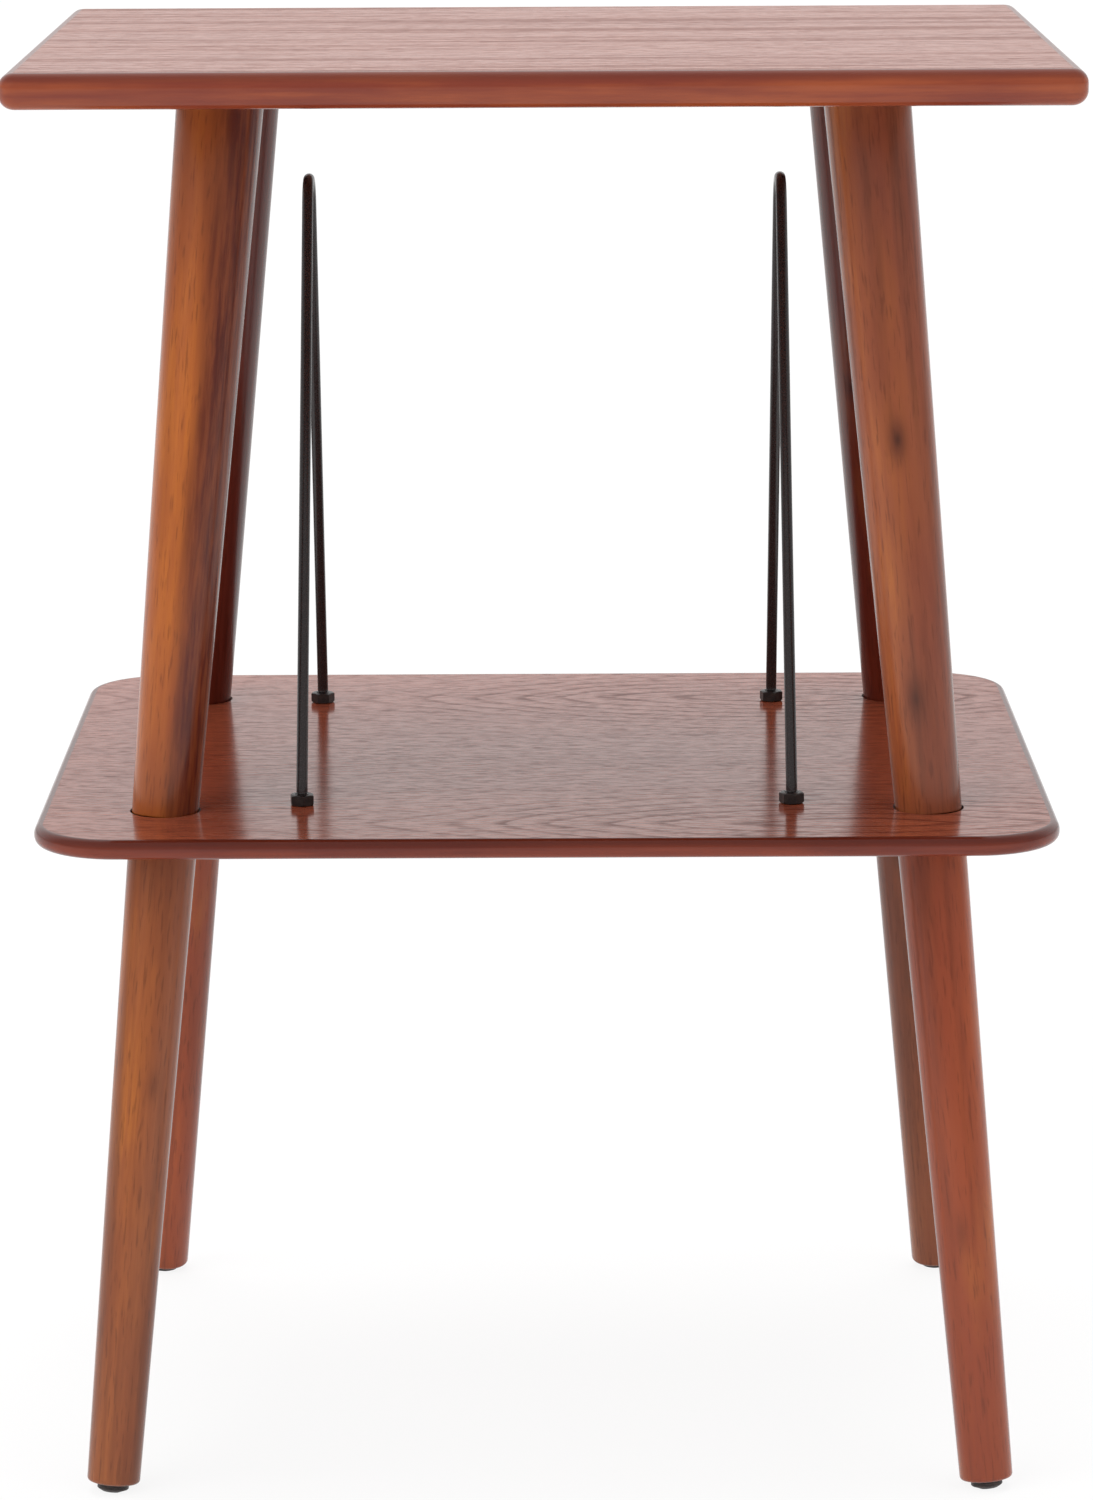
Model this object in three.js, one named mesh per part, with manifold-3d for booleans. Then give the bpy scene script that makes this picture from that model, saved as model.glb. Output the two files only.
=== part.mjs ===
// A two-tier stand: a board on top for a record player, and a shelf below it for records.
// Four splayed legs, each in two lengths that clamp the shelf between them, and two bent wires as dividers.
// Millimetres, +Z up, the front faces -Y. The origin lies on the floor under the middle of the stand.
import * as THREE from "three";
import { mergeVertices } from "three/addons/utils/BufferGeometryUtils.js";
import Module from "manifold-3d";

// ---------------------------------------------------------------- driving dimensions

const TOP = {
  faceHeight: 648, // of its upper face above the floor
  width: 471,
  depth: 378,
  thickness: 16,
  cornerRadius: 8,
  edgeRadius: 6.5,
};
const SHELF = {
  faceHeight: 309.5,
  sideInset: 5, // of its ends from the top board's
  frontOverhang: 1.5, // of its front and back edges past the top board's
  thickness: 9,
  cornerRadius: 39,
  edgeRadius: 4,
};
const LEG_LINE = {
  sideInset: 56.9, // of each leg's axis from the shelf's edges, at half its thickness
  frontInset: 63,
  sideSplay: 5, // degrees, seen from the front
  frontSplay: 7.8, // degrees, seen from the side
};
const UPPER_LEG = { headRadius: 19.8, footRadius: 15.1, chamfer: 0.8 };
const LOWER_LEG = { headRadius: 15.7, headChamfer: 0.8, footRadius: 12.1, footChamfer: 1.8 };
const SEAT = {
  clearance: 0.9, // round the leg, in the recess that its squared end stands in
  lip: 0.4, // least depth of the recess, on its shallow side
};
const BOLT = { radius: 4, pointLength: 3 }; // hanger bolts
const TOP_BOLT = { inLeg: 30, shortOfInsert: 0.5 };
const JOINT_BOLT = { inUpperLeg: 32, pastInsert: 7 };
const TOP_INSERT = { radius: 5.5, cover: 2.5 }; // cover is the board left over its end
const LEG_INSERT = { radius: 6, length: 15 };
const GLIDE = {
  radius: 7.2,
  height: 4,
  solidRadius: 5, // of its flat underside
  sideHeight: 2.4,
  pressed: 0.5, // how deep its underside is pressed flat on the floor
};
const NAIL = { radius: 1, headRadius: 3, headThickness: 1, headHeight: 1.5, inLeg: 15, pointLength: 2 };
const WIRE = {
  radius: 2.6,
  threadRise: 0.35, // of the rolled thread's crest over the plain wire
  sideOffset: 111.5, // of each wire's plane from the middle
  footSpan: 234, // between the two ends of one wire
  bendRadius: 10, // where an upright end turns into a sloping side
  peakDrop: 21, // of the point where the two sloping sides would meet, below the top board
  peakSetback: 45, // of that point behind the middle
  peakRadius: 19,
  threadShown: 1.2, // above the upper nut, up to the bend
  threadBelow: 1.8, // under the lower nut
};
const NUT = { acrossFlats: 10, height: 5, faceInset: 0.25, chamferAngle: 30 };
const WASHER = { radius: 6, thickness: 1.6 };

// ---------------------------------------------------------------- clearances

const FACE_GAP = 0.3; // between the end of a piece and the sloping face that it stands on
const FIT_GAP = 0.3; // round a bolt, insert, nail or thread in its hole
const FLAT_GAP = 0.05; // between level faces that lie on each other
const SHELF_HOLE_GAP = 0.5; // round a bolt or a threaded wire end in the shelf
const FILLET_REST = 0.5; // what a rounded-over edge leaves of the wall and the corner that it rounds

// ---------------------------------------------------------------- facets

const LEG_SIDES = 24;
const GLIDE_SIDES = 18;
const NUT_SIDES = 18;
const BOLT_SIDES = 12;
const WIRE_SIDES = 10;
const CORNER_STEPS = 4;
const EDGE_STEPS = 3;
const BEND_STEPS = 3;
const PEAK_STEPS = 10;

// ---------------------------------------------------------------- finishes

const finish = (color, roughness, metalness) =>
  new THREE.MeshStandardMaterial({ color, roughness, metalness });
const veneer = finish(0x8f5544, 0.38, 0);
const legWood = finish(0x8a4a2c, 0.42, 0);
const blackWire = finish(0x1c1a1b, 0.35, 0.3);
const blackNut = finish(0x1a1718, 0.4, 0.4);
const steel = finish(0xb4b4b0, 0.35, 1);
const glidePlastic = finish(0x241a18, 0.6, 0);

// ---------------------------------------------------------------- solids

const wasm = await Module();
wasm.setup();

function toSolid(geometry) {
  const bare = geometry.clone();
  bare.deleteAttribute("normal");
  bare.deleteAttribute("uv");
  const merged = mergeVertices(bare, 1e-4);
  return new wasm.Manifold(
    new wasm.Mesh({
      numProp: 3,
      vertProperties: merged.attributes.position.array,
      triVerts: new Uint32Array(merged.index.array),
    }),
  );
}

function toGeometry(solid) {
  const mesh = solid.getMesh();
  const geometry = new THREE.BufferGeometry();
  geometry.setAttribute("position", new THREE.BufferAttribute(mesh.vertProperties, mesh.numProp));
  geometry.setIndex(new THREE.BufferAttribute(mesh.triVerts, 1));
  geometry.computeVertexNormals();
  return geometry;
}

function cut(body, cutters) {
  return cutters.reduce((rest, cutter) => rest.subtract(toSolid(cutter)), toSolid(body));
}

// A turned shape about Z. The profile lists [radius, height] pairs, upwards on the outside.
function turned(profile, sides) {
  const points = profile.map(([radius, height]) => new THREE.Vector2(radius, height));
  return new THREE.LatheGeometry(points, sides).rotateX(Math.PI / 2);
}

function rod(radius, from, to, sides) {
  return turned([[0, from], [radius, from], [radius, to], [0, to]], sides);
}

function tube(outer, inner, from, to, sides) {
  return turned([[inner, from], [outer, from], [outer, to], [inner, to], [inner, from]], sides);
}

function roundedRectangle(width, depth, radius) {
  const x = width / 2 - radius;
  const y = depth / 2 - radius;
  const quarter = Math.PI / 2;
  const shape = new THREE.Shape();
  shape.absarc(x, y, radius, 0, quarter);
  shape.absarc(-x, y, radius, quarter, 2 * quarter);
  shape.absarc(-x, -y, radius, 2 * quarter, 3 * quarter);
  shape.absarc(x, -y, radius, 3 * quarter, 4 * quarter);
  return shape;
}

// A board with rounded corners and rounded-over edges, its upper face at faceHeight.
function board({ width, depth, thickness, cornerRadius, edgeRadius, faceHeight }) {
  const outline = roundedRectangle(width, depth, cornerRadius);
  const round = Math.min(edgeRadius, cornerRadius - FILLET_REST, (thickness - FILLET_REST) / 2);
  const geometry = new THREE.ExtrudeGeometry(outline, {
    depth: thickness - 2 * round,
    bevelThickness: round,
    bevelSize: round,
    bevelOffset: -round,
    bevelSegments: EDGE_STEPS,
    curveSegments: CORNER_STEPS,
  });
  return geometry.translate(0, 0, faceHeight - thickness + round);
}

function piece(name, geometry, material) {
  const mesh = new THREE.Mesh(geometry, material);
  mesh.name = name;
  return mesh;
}

// ---------------------------------------------------------------- the four leg lines

const shelfWidth = TOP.width - 2 * SHELF.sideInset;
const shelfDepth = TOP.depth + 2 * SHELF.frontOverhang;
const legSide = shelfWidth / 2 - LEG_LINE.sideInset;
const legFront = shelfDepth / 2 - LEG_LINE.frontInset;

const radians = THREE.MathUtils.degToRad;
const sideSlope = Math.tan(radians(LEG_LINE.sideSplay));
const frontSlope = Math.tan(radians(LEG_LINE.frontSplay));
const lean = Math.atan(Math.hypot(sideSlope, frontSlope)); // of a leg's axis from upright
const topUnderside = TOP.faceHeight - TOP.thickness;
const shelfUnderside = SHELF.faceHeight - SHELF.thickness;
const shelfMiddle = SHELF.faceHeight - SHELF.thickness / 2;

const ENDS = [
  { name: "front", sign: -1 },
  { name: "back", sign: 1 },
];
const SIDES = [
  { name: "left", sign: -1 },
  { name: "right", sign: 1 },
];

// Each corner is a frame whose Z runs up a leg's axis, with its origin at half the shelf's thickness.
const corners = ENDS.flatMap((end) =>
  SIDES.map((side) => {
    const frame = new THREE.Group();
    frame.position.set(side.sign * legSide, end.sign * legFront, shelfMiddle);
    const axis = new THREE.Vector3(-side.sign * sideSlope, -end.sign * frontSlope, 1).normalize();
    frame.quaternion.setFromUnitVectors(new THREE.Vector3(0, 0, 1), axis);
    frame.updateMatrix();
    return { name: `${end.name}_${side.name}`, frame };
  }),
);

// Where a leg's axis reaches a height, measured along the axis from the corner's origin.
const onAxis = (height) => (height - shelfMiddle) / Math.cos(lean);
// How far a squared end of this radius has to sink into a level face to be all below it.
const sunk = (radius) => radius * Math.sin(lean) + SEAT.lip;

const topSeat = onAxis(topUnderside + sunk(UPPER_LEG.headRadius));
const shelfUpperSeat = onAxis(SHELF.faceHeight - sunk(UPPER_LEG.footRadius));
const shelfLowerSeat = onAxis(shelfUnderside + sunk(LOWER_LEG.headRadius));
const glideBase = onAxis(-GLIDE.pressed);
const lowerLegFoot = glideBase + GLIDE.height + FACE_GAP;
const upperLegFoot = shelfUpperSeat + FACE_GAP;
const upperLegHead = topSeat - FACE_GAP;
const lowerLegHead = shelfLowerSeat - FACE_GAP;
// The inserts in the top board reach up to their cover, which is thinnest at the high side of their rim.
const topInsertHole = TOP_INSERT.radius + FIT_GAP;
const topInsertRoof = onAxis(TOP.faceHeight - TOP_INSERT.cover - topInsertHole * Math.sin(lean));
const topInsertEnd = topInsertRoof - FACE_GAP;

function inCorners(makeCutter) {
  return corners.map(({ frame }) => makeCutter().applyMatrix4(frame.matrix));
}

// ---------------------------------------------------------------- the legs and what joins them

const boltHole = BOLT.radius + FIT_GAP;
const jointBoltEnd = lowerLegHead - LEG_INSERT.length - JOINT_BOLT.pastInsert;

function upperLeg() {
  const { headRadius, footRadius, chamfer } = UPPER_LEG;
  const footBore = upperLegFoot + JOINT_BOLT.inUpperLeg + FIT_GAP;
  const headBore = upperLegHead - TOP_BOLT.inLeg - FIT_GAP;
  return turned(
    [
      [0, footBore],
      [boltHole, footBore],
      [boltHole, upperLegFoot],
      [footRadius - chamfer, upperLegFoot],
      [footRadius, upperLegFoot + chamfer],
      [headRadius, upperLegHead - chamfer],
      [headRadius - chamfer, upperLegHead],
      [boltHole, upperLegHead],
      [boltHole, headBore],
      [0, headBore],
    ],
    LEG_SIDES,
  );
}

function lowerLeg() {
  const { headRadius, headChamfer, footRadius, footChamfer } = LOWER_LEG;
  const insertHole = LEG_INSERT.radius + FIT_GAP;
  const insertEnd = lowerLegHead - LEG_INSERT.length - FACE_GAP;
  const boltEnd = jointBoltEnd - FIT_GAP;
  const nailHole = NAIL.radius + FIT_GAP;
  const nailEnd = lowerLegFoot + NAIL.inLeg + FIT_GAP;
  return turned(
    [
      [0, nailEnd],
      [nailHole, nailEnd],
      [nailHole, lowerLegFoot],
      [footRadius - footChamfer, lowerLegFoot],
      [footRadius, lowerLegFoot + footChamfer],
      [headRadius, lowerLegHead - headChamfer],
      [headRadius - headChamfer, lowerLegHead],
      [insertHole, lowerLegHead],
      [insertHole, insertEnd],
      [boltHole, insertEnd],
      [boltHole, boltEnd],
      [0, boltEnd],
    ],
    LEG_SIDES,
  );
}

// A hanger bolt: a pointed wood thread at one end, a squared machine thread at the other.
function legTopBolt() {
  const point = upperLegHead - TOP_BOLT.inLeg;
  const end = topInsertEnd - TOP_BOLT.shortOfInsert;
  return turned([[0, point], [BOLT.radius, point + BOLT.pointLength], [BOLT.radius, end], [0, end]], BOLT_SIDES);
}

function legJointBolt() {
  const point = upperLegFoot + JOINT_BOLT.inUpperLeg;
  const end = jointBoltEnd;
  return turned([[0, end], [BOLT.radius, end], [BOLT.radius, point - BOLT.pointLength], [0, point]], BOLT_SIDES);
}

function topBoardInsert() {
  return tube(TOP_INSERT.radius, boltHole, topSeat + FACE_GAP, topInsertEnd, BOLT_SIDES);
}

function lowerLegInsert() {
  const start = lowerLegHead - LEG_INSERT.length;
  return tube(LEG_INSERT.radius, boltHole, start, lowerLegHead, BOLT_SIDES);
}

// ---------------------------------------------------------------- the glides

function footGlide(frame) {
  const base = glideBase;
  const pocketFloor = base + NAIL.headHeight;
  const pocketRoof = pocketFloor + NAIL.headThickness + 2 * FIT_GAP;
  const pocketRadius = NAIL.headRadius + FIT_GAP;
  const shankHole = NAIL.radius + FIT_GAP;
  const disc = turned(
    [
      [0, base],
      [GLIDE.solidRadius, base],
      [GLIDE.radius, base + GLIDE.height - GLIDE.sideHeight],
      [GLIDE.radius, base + GLIDE.height],
      [shankHole, base + GLIDE.height],
      [shankHole, pocketRoof],
      [pocketRadius, pocketRoof],
      [pocketRadius, pocketFloor],
      [0, pocketFloor],
    ],
    GLIDE_SIDES,
  );
  // The floor, as the leaning disc sees it, takes off what would reach below it.
  const floorSize = 4 * GLIDE.radius;
  const floor = new THREE.BoxGeometry(floorSize, floorSize, floorSize);
  const foot = new THREE.Vector3(0, 0, base).applyMatrix4(frame.matrix);
  floor.translate(foot.x, foot.y, -floorSize / 2);
  floor.applyMatrix4(frame.matrix.clone().invert());
  return toGeometry(cut(disc, [floor]));
}

function glideNail() {
  const head = glideBase + NAIL.headHeight + FIT_GAP;
  const neck = head + NAIL.headThickness;
  const point = lowerLegFoot + NAIL.inLeg;
  return turned(
    [
      [0, head],
      [NAIL.headRadius, head],
      [NAIL.headRadius, neck],
      [NAIL.radius, neck],
      [NAIL.radius, point - NAIL.pointLength],
      [0, point],
    ],
    BOLT_SIDES,
  );
}

// ---------------------------------------------------------------- the boards

const threadRadius = WIRE.radius + WIRE.threadRise;

function topBoard() {
  const seatRadius = UPPER_LEG.headRadius + SEAT.clearance;
  const mouth = topSeat - 2 * sunk(seatRadius);
  const seats = inCorners(() => rod(seatRadius, mouth, topSeat, LEG_SIDES));
  const insertHoles = inCorners(() => rod(topInsertHole, mouth, topInsertRoof, BOLT_SIDES));
  return toGeometry(cut(board(TOP), [...seats, ...insertHoles]));
}

function storageShelf() {
  const upperRadius = UPPER_LEG.footRadius + SEAT.clearance;
  const lowerRadius = LOWER_LEG.headRadius + SEAT.clearance;
  const above = shelfUpperSeat + 2 * sunk(upperRadius);
  const below = shelfLowerSeat - 2 * sunk(lowerRadius);
  const boltRadius = BOLT.radius + SHELF_HOLE_GAP;
  const upperSeats = inCorners(() => rod(upperRadius, shelfUpperSeat, above, LEG_SIDES));
  const lowerSeats = inCorners(() => rod(lowerRadius, below, shelfLowerSeat, LEG_SIDES));
  const boltHoles = inCorners(() => rod(boltRadius, below, above, BOLT_SIDES));
  const wireRadius = threadRadius + SHELF_HOLE_GAP;
  const drillFrom = shelfUnderside - SHELF.thickness;
  const drillTo = SHELF.faceHeight + SHELF.thickness;
  const wireHoles = SIDES.flatMap((side) =>
    ENDS.map((end) => {
      const hole = rod(wireRadius, drillFrom, drillTo, BOLT_SIDES);
      return hole.translate(side.sign * WIRE.sideOffset, (end.sign * WIRE.footSpan) / 2, 0);
    }),
  );
  const blank = board({ ...SHELF, width: shelfWidth, depth: shelfDepth });
  return toGeometry(cut(blank, [...upperSeats, ...lowerSeats, ...boltHoles, ...wireHoles]));
}

// ---------------------------------------------------------------- the dividers

const upperNutBase = SHELF.faceHeight + FLAT_GAP;
const washerTop = shelfUnderside - FLAT_GAP;
const lowerNutTop = washerTop - WASHER.thickness - FLAT_GAP;
const wireEnd = lowerNutTop - NUT.height - WIRE.threadBelow;
const threadTop = upperNutBase + NUT.height + WIRE.threadShown;

// A path through given stations, so that straight stretches take one step and bends take several.
class StationPath extends THREE.Curve {
  constructor(stations) {
    super();
    this.stations = stations;
  }
  getPointAt(u) {
    return this.stations[Math.round(u * (this.stations.length - 1))].point.clone();
  }
  getTangentAt(u) {
    return this.stations[Math.round(u * (this.stations.length - 1))].tangent.clone();
  }
}

// Stations along a run of straight lines in the YZ plane, whose inner corners are bent to a radius.
function bentRun(points, bends) {
  const stations = [];
  const add = (point, tangent) => stations.push({ point, tangent });
  const direction = (from, to) => to.clone().sub(from).normalize();
  add(points[0].clone(), direction(points[0], points[1]));
  bends.forEach(({ radius, steps }, i) => {
    const corner = points[i + 1];
    const into = direction(points[i], corner);
    const out = direction(corner, points[i + 2]);
    const turn = into.angleTo(out);
    const inward = out.clone().sub(into).normalize();
    const centre = corner.clone().addScaledVector(inward, radius / Math.cos(turn / 2));
    const turnAxis = into.clone().cross(out).normalize();
    const start = corner.clone().addScaledVector(into, -radius * Math.tan(turn / 2)).sub(centre);
    for (let step = 0; step <= steps; step += 1) {
      const angle = (turn * step) / steps;
      const point = start.clone().applyAxisAngle(turnAxis, angle).add(centre);
      add(point, into.clone().applyAxisAngle(turnAxis, angle));
    }
  });
  const last = points.length - 1;
  add(points[last].clone(), direction(points[last - 1], points[last]));
  return new StationPath(stations);
}

// One wire: an upright threaded end, a long slope back, a tight bend and a steeper slope down to the other end.
function dividerWire() {
  const foot = WIRE.footSpan / 2;
  const peak = topUnderside - WIRE.peakDrop;
  const at = (y, z) => new THREE.Vector3(0, y, z);
  // The corner of a bend lies so far up that the bend itself begins at the thread's end.
  const bendCorner = (y) => {
    const turn = Math.atan2(Math.abs(WIRE.peakSetback - y), peak - threadTop);
    return at(y, threadTop + WIRE.bendRadius * Math.tan(turn / 2));
  };
  const run = bentRun(
    [
      at(-foot, upperNutBase),
      bendCorner(-foot),
      at(WIRE.peakSetback, peak),
      bendCorner(foot),
      at(foot, upperNutBase),
    ],
    [
      { radius: WIRE.bendRadius, steps: BEND_STEPS },
      { radius: WIRE.peakRadius, steps: PEAK_STEPS },
      { radius: WIRE.bendRadius, steps: BEND_STEPS },
    ],
  );
  const section = new THREE.Shape();
  section.absarc(0, 0, WIRE.radius, 0, 2 * Math.PI);
  const wire = new THREE.ExtrudeGeometry(section, {
    extrudePath: run,
    steps: run.stations.length - 1,
    curveSegments: WIRE_SIDES,
    bevelEnabled: false,
  });
  const threads = ENDS.map((end) =>
    toSolid(rod(threadRadius, wireEnd, threadTop, WIRE_SIDES).translate(0, end.sign * foot, 0)),
  );
  return toGeometry(threads.reduce((body, thread) => body.add(thread), toSolid(wire)));
}

// A hexagon nut with its corners chamfered, standing on its own base.
function nut() {
  const { acrossFlats, height, faceInset, chamferAngle } = NUT;
  const faceRadius = acrossFlats / 2 - faceInset;
  const cornerRadius = acrossFlats / Math.sqrt(3);
  const chamfer = (cornerRadius - faceRadius) * Math.tan(radians(chamferAngle));
  const hexagon = rod(cornerRadius, 0, height, 6);
  const rounded = turned(
    [
      [0, 0],
      [faceRadius, 0],
      [cornerRadius, chamfer],
      [cornerRadius, height - chamfer],
      [faceRadius, height],
      [0, height],
    ],
    NUT_SIDES,
  );
  const bore = rod(threadRadius + FIT_GAP, -height, 2 * height, BOLT_SIDES);
  return toSolid(hexagon).intersect(toSolid(rounded)).subtract(toSolid(bore));
}

function washer() {
  return tube(WASHER.radius, threadRadius + FIT_GAP, 0, WASHER.thickness, NUT_SIDES);
}

// ---------------------------------------------------------------- the stand

const stand = new THREE.Group();
stand.add(piece("top_board", topBoard(), veneer));
stand.add(piece("storage_shelf", storageShelf(), veneer));

for (const { name, frame } of corners) {
  frame.add(piece(`upper_leg_${name}`, upperLeg(), legWood));
  frame.add(piece(`lower_leg_${name}`, lowerLeg(), legWood));
  frame.add(piece(`leg_top_bolt_${name}`, legTopBolt(), steel));
  frame.add(piece(`top_board_insert_${name}`, topBoardInsert(), steel));
  frame.add(piece(`leg_joint_bolt_${name}`, legJointBolt(), steel));
  frame.add(piece(`lower_leg_insert_${name}`, lowerLegInsert(), steel));
  frame.add(piece(`foot_glide_${name}`, footGlide(frame), glidePlastic));
  frame.add(piece(`glide_nail_${name}`, glideNail(), steel));
  stand.add(frame);
}

const nutTurns = { front_left: 8, front_right: 21, back_left: 34, back_right: 14 }; // degrees, as tightened

for (const side of SIDES) {
  const divider = new THREE.Group();
  divider.position.x = side.sign * WIRE.sideOffset;
  divider.add(piece(`divider_wire_${side.name}`, dividerWire(), blackWire));
  for (const end of ENDS) {
    const name = `${end.name}_${side.name}`;
    const footing = new THREE.Group();
    footing.position.y = (end.sign * WIRE.footSpan) / 2;
    const upperNut = piece(`divider_upper_nut_${name}`, toGeometry(nut()), blackNut);
    const lowerNut = piece(`divider_lower_nut_${name}`, toGeometry(nut()), blackNut);
    const washerPiece = piece(`divider_washer_${name}`, washer(), blackNut);
    upperNut.position.z = upperNutBase;
    upperNut.rotation.z = radians(nutTurns[name]);
    washerPiece.position.z = washerTop - WASHER.thickness;
    lowerNut.position.z = lowerNutTop - NUT.height;
    footing.add(upperNut, washerPiece, lowerNut);
    divider.add(footing);
  }
  stand.add(divider);
}

export default stand;
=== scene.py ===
"""Finishes and fine shapes of a two-tier stand: a top board, a shelf with rounded corners, splayed legs in
two lengths, and two bent wire dividers. Metres, +Z up, the front faces -Y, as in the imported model."""

import math

import bmesh
import bpy
from mathutils import Matrix, Vector


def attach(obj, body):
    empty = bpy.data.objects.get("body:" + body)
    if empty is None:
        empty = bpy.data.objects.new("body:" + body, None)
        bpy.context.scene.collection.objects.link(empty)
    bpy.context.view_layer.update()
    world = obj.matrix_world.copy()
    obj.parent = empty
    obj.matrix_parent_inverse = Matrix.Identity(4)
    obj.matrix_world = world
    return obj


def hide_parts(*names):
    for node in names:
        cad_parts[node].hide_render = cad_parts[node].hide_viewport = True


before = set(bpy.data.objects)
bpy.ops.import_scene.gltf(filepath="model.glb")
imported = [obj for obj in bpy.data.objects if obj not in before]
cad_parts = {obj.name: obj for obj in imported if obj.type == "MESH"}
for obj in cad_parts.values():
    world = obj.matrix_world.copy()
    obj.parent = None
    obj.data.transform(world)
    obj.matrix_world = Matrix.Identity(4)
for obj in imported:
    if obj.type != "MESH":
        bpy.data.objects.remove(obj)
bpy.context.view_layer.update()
MM = 0.001

# ------------------------------------------------------------------ camera, as the photograph was taken

IMAGE_LONG_SIDE = 1500  # pixels
FOCAL_PIXELS = 5460.2
SENSOR = 36.0
CAMERA_PLACE = (0.0036, -2.5461, 0.8525)
CAMERA_DOWN, CAMERA_YAW, CAMERA_ROLL = 0.2101, -0.0015, -0.0047  # radians


def add_camera():
    ahead = math.cos(CAMERA_DOWN)
    forward = Vector((math.sin(CAMERA_YAW) * ahead, math.cos(CAMERA_YAW) * ahead, -math.sin(CAMERA_DOWN)))
    level = Vector((math.cos(CAMERA_YAW), -math.sin(CAMERA_YAW), 0))
    upright = level.cross(forward)
    right = level * math.cos(CAMERA_ROLL) + upright * math.sin(CAMERA_ROLL)
    up = right.cross(forward)
    turned = Matrix((right, up, -forward)).transposed().to_4x4()
    data = bpy.data.cameras.new("camera")
    data.sensor_width = SENSOR
    data.lens = FOCAL_PIXELS * SENSOR / IMAGE_LONG_SIDE
    camera = bpy.data.objects.new("camera", data)
    camera.matrix_world = Matrix.Translation(CAMERA_PLACE) @ turned
    bpy.context.scene.collection.objects.link(camera)
    bpy.context.scene.camera = camera


# ------------------------------------------------------------------ sizes, as the model has them

TOP_FACE = 648 * MM
TOP_SIZE = (471 * MM, 378 * MM, 16 * MM)
TOP_CORNER, TOP_EDGE = 8 * MM, 6.5 * MM
SHELF_FACE = 309.5 * MM
SHELF_SIZE = (461 * MM, 381 * MM, 9 * MM)
SHELF_CORNER, SHELF_EDGE = 39 * MM, 4 * MM

LEG_SIDE, LEG_FRONT = 173.6 * MM, 127.5 * MM
SIDE_SLOPE, FRONT_SLOPE = math.tan(math.radians(5)), math.tan(math.radians(7.8))
UPPER_HEAD, UPPER_FOOT = 19.8 * MM, 15.1 * MM
LOWER_HEAD, LOWER_FOOT = 15.7 * MM, 12.1 * MM
LEG_ARRIS, FOOT_ROUND = 0.8 * MM, 1.8 * MM
SEAT_CLEARANCE, SEAT_LIP, FACE_GAP = 0.9 * MM, 0.4 * MM, 0.3 * MM

WIRE_SIDE, WIRE_FOOT = 111.5 * MM, 117 * MM  # of each wire end from the middle, along X and along Y
WIRE_RADIUS, THREAD_RADIUS = 2.6 * MM, 2.95 * MM
WIRE_BEND, PEAK_BEND = 10 * MM, 19 * MM
PEAK_BACK, PEAK_HEIGHT = 45 * MM, 611 * MM
NUT_FLATS, NUT_HEIGHT, NUT_FACE_INSET = 10 * MM, 5 * MM, 0.25 * MM
NUT_CHAMFER = math.tan(math.radians(30))
WASHER_RADIUS, WASHER_THICK = 6 * MM, 1.6 * MM
FLAT_GAP = 0.05 * MM
THREAD_SHOWN, THREAD_BELOW = 1.2 * MM, 1.8 * MM
THREAD_PITCH, THREAD_DEPTH = 1.0 * MM, 0.55 * MM
HOLE_GAP = 0.5 * MM

GLIDE_RADIUS, GLIDE_FLAT, GLIDE_HEIGHT, GLIDE_SIDE = 7.2 * MM, 5 * MM, 4 * MM, 2.4 * MM
GLIDE_PRESSED, GLIDE_ARRIS, GLIDE_CHAMFER = 0.5 * MM, 0.5 * MM, 0.1 * MM

SHELF_MIDDLE = SHELF_FACE - SHELF_SIZE[2] / 2
SHELF_UNDER = SHELF_FACE - SHELF_SIZE[2]
TOP_UNDER = TOP_FACE - TOP_SIZE[2]
LEAN = math.atan(math.hypot(SIDE_SLOPE, FRONT_SLOPE))
ENDS = {"front": -1, "back": 1}
SIDES = {"left": -1, "right": 1}
CORNERS = {f"{end}_{side}": (SIDES[side], ENDS[end]) for end in ENDS for side in SIDES}


def leg_frame(corner):
    """The frame whose Z runs up a leg's axis, from half the shelf's thickness."""
    side, end = CORNERS[corner]
    axis = Vector((-side * SIDE_SLOPE, -end * FRONT_SLOPE, 1)).normalized()
    place = Matrix.Translation((side * LEG_SIDE, end * LEG_FRONT, SHELF_MIDDLE))
    return place @ Vector((0, 0, 1)).rotation_difference(axis).to_matrix().to_4x4()


def on_axis(height):
    """Where a leg's axis reaches this height, measured along the axis from its frame's origin."""
    return (height - SHELF_MIDDLE) / math.cos(LEAN)


def sunk(radius):
    """How far the middle of a squared leg end of this radius lies inside the board."""
    return radius * math.sin(LEAN) + SEAT_LIP


TOP_SEAT = on_axis(TOP_UNDER + sunk(UPPER_HEAD))
UPPER_SEAT = on_axis(SHELF_FACE - sunk(UPPER_FOOT))
LOWER_SEAT = on_axis(SHELF_UNDER + sunk(LOWER_HEAD))
GLIDE_BASE = on_axis(-GLIDE_PRESSED)
LOWER_END = GLIDE_BASE + GLIDE_HEIGHT + FACE_GAP


# ------------------------------------------------------------------ shader graphs


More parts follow.
